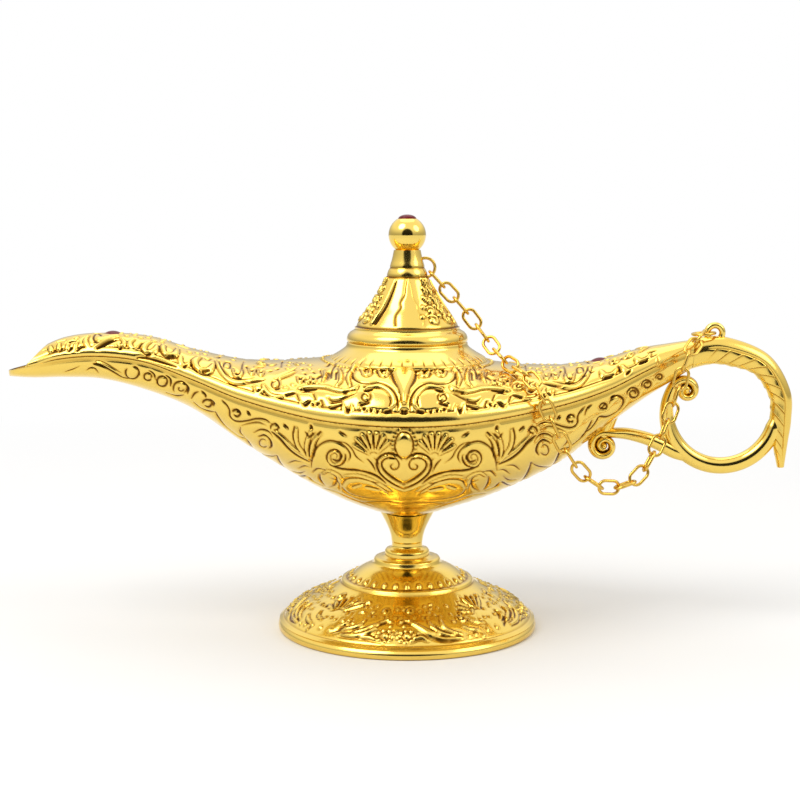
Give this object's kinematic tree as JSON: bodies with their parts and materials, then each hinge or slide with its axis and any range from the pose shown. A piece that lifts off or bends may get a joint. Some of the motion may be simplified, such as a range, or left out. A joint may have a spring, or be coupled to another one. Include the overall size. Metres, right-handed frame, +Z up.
{
  "type": "genie oil lamp",
  "caption": "Boat-shaped oil lamp ornament on a round foot, with a lift-off lid, a ring handle and a chain from lid to handle.",
  "frame": {"origin": "centre of the foot's underside, on the surface that the lamp stands on", "axes": "+Z up, +X from the spout towards the handle, the chain hangs on the -Y side"},
  "size_m": [0.2068, 0.069, 0.1097],
  "materials": {
    "gold_plating": "polished",
    "gold_wire": "polished",
    "zinc_plated_steel": "satin",
    "garnet_glass": "polished"
  },
  "bodies": {
    "lamp": {"foot": "gold_plating", "stem": "gold_plating", "lower_shell": "gold_plating", "upper_shell": "gold_plating", "tie_bolt": "zinc_plated_steel", "head_washer": "zinc_plated_steel", "nut_washer": "zinc_plated_steel", "tie_nut": "zinc_plated_steel", "handle_leaf": "gold_plating", "handle_rod": "gold_plating", "handle_scroll": "gold_plating", "chain_lug": "gold_plating", "spout_gem": "garnet_glass", "tail_gem": "garnet_glass"},
    "lid_set": {"lid": "gold_plating", "finial_ball": "gold_plating", "lid_gem": "garnet_glass", "lid_ring": "gold_wire"},
    "lug_ring": {"lug_ring": "gold_wire"},
    "chain_run_01": {"chain_link_29": "gold_wire", "chain_link_28": "gold_wire", "chain_link_27": "gold_wire"},
    "chain_run_02": {"chain_link_26": "gold_wire", "chain_link_25": "gold_wire", "chain_link_24": "gold_wire"},
    "chain_run_03": {"chain_link_23": "gold_wire", "chain_link_22": "gold_wire", "chain_link_21": "gold_wire"},
    "chain_run_04": {"chain_link_20": "gold_wire", "chain_link_19": "gold_wire", "chain_link_18": "gold_wire"},
    "chain_run_05": {"chain_link_17": "gold_wire", "chain_link_16": "gold_wire", "chain_link_15": "gold_wire"},
    "chain_run_06": {"chain_link_14": "gold_wire", "chain_link_13": "gold_wire", "chain_link_12": "gold_wire"},
    "chain_run_07": {"chain_link_11": "gold_wire", "chain_link_10": "gold_wire", "chain_link_09": "gold_wire"},
    "chain_run_08": {"chain_link_08": "gold_wire", "chain_link_07": "gold_wire", "chain_link_06": "gold_wire"},
    "chain_run_09": {"chain_link_05": "gold_wire", "chain_link_04": "gold_wire", "chain_link_03": "gold_wire"},
    "chain_run_10": {"chain_link_02": "gold_wire", "chain_link_01": "gold_wire"}
  },
  "joints": [
    {"name": "lid_lift", "type": "slide", "parent": "lamp", "child": "lid_set", "axis": [0, 0, 1], "range_m": [0, 0.03]},
    {"name": "lug_ring_swing", "type": "hinge", "parent": "lamp", "child": "lug_ring", "pos_m": [0.08095, 0, 0.07875], "axis": [0, 1, 0], "range_deg": [0, 6.26]},
    {"name": "run_01_swing", "type": "hinge", "parent": "lug_ring", "child": "chain_run_01", "pos_m": [0.07707, -0.00223, 0.0786], "axis": [-0.6222, 0.5277, -0.5783], "range_deg": [0, 28.64]},
    {"name": "run_02_swing", "type": "hinge", "parent": "chain_run_01", "child": "chain_run_02", "pos_m": [0.07115, -0.00946, 0.06997], "axis": [-0.9721, -0.1396, 0.1884], "range_deg": [0, 18.97]},
    {"name": "run_03_swing", "type": "hinge", "parent": "chain_run_02", "child": "chain_run_03", "pos_m": [0.06706, -0.01125, 0.05692], "axis": [-0.654, -0.7517, 0.0851], "range_deg": [0, 9.73]},
    {"name": "run_04_swing", "type": "hinge", "parent": "chain_run_03", "child": "chain_run_04", "pos_m": [0.06092, -0.01485, 0.04497], "axis": [0.6059, 0.1932, -0.7717], "range_deg": [0, 28.07]},
    {"name": "run_05_swing", "type": "hinge", "parent": "chain_run_04", "child": "chain_run_05", "pos_m": [0.04914, -0.01915, 0.04106], "axis": [0.5198, 0.272, 0.8098], "range_deg": [0, 19.79]},
    {"name": "run_06_swing", "type": "hinge", "parent": "chain_run_05", "child": "chain_run_06", "pos_m": [0.03993, -0.02177, 0.05088], "axis": [0.7978, -0.4374, 0.4151], "range_deg": [0, 16.33]},
    {"name": "run_07_swing", "type": "hinge", "parent": "chain_run_06", "child": "chain_run_07", "pos_m": [0.03412, -0.02306, 0.06342], "axis": [0.5126, 0.8522, -0.1049], "range_deg": [0, 14.82]},
    {"name": "run_08_swing", "type": "hinge", "parent": "chain_run_07", "child": "chain_run_08", "pos_m": [0.02765, -0.01402, 0.07096], "axis": [-0.4444, -0.4024, 0.8004], "range_deg": [0, 15.04]},
    {"name": "run_09_swing", "type": "hinge", "parent": "chain_run_08", "child": "chain_run_09", "pos_m": [0.02084, -0.00386, 0.07735], "axis": [-0.8104, -0.5814, -0.0721], "range_deg": [0, 13.07]},
    {"name": "run_10_swing", "type": "hinge", "parent": "chain_run_09", "child": "chain_run_10", "pos_m": [0.01256, -0.00024, 0.08774], "axis": [0.3299, -0.8261, 0.4569], "range_deg": [0, 13.55]}
  ],
  "couplings": [
    {"joint": "lug_ring_swing", "follows": "lid_lift", "rad_per_m": 3.6415},
    {"joint": "run_01_swing", "follows": "lid_lift", "rad_per_m": 16.66},
    {"joint": "run_02_swing", "follows": "lid_lift", "rad_per_m": 11.038},
    {"joint": "run_03_swing", "follows": "lid_lift", "rad_per_m": 5.6598},
    {"joint": "run_04_swing", "follows": "lid_lift", "rad_per_m": 16.328},
    {"joint": "run_05_swing", "follows": "lid_lift", "rad_per_m": 11.512},
    {"joint": "run_06_swing", "follows": "lid_lift", "rad_per_m": 9.4969},
    {"joint": "run_07_swing", "follows": "lid_lift", "rad_per_m": 8.6214},
    {"joint": "run_08_swing", "follows": "lid_lift", "rad_per_m": 8.748},
    {"joint": "run_09_swing", "follows": "lid_lift", "rad_per_m": 7.6021},
    {"joint": "run_10_swing", "follows": "lid_lift", "rad_per_m": 7.8829}
  ]
}
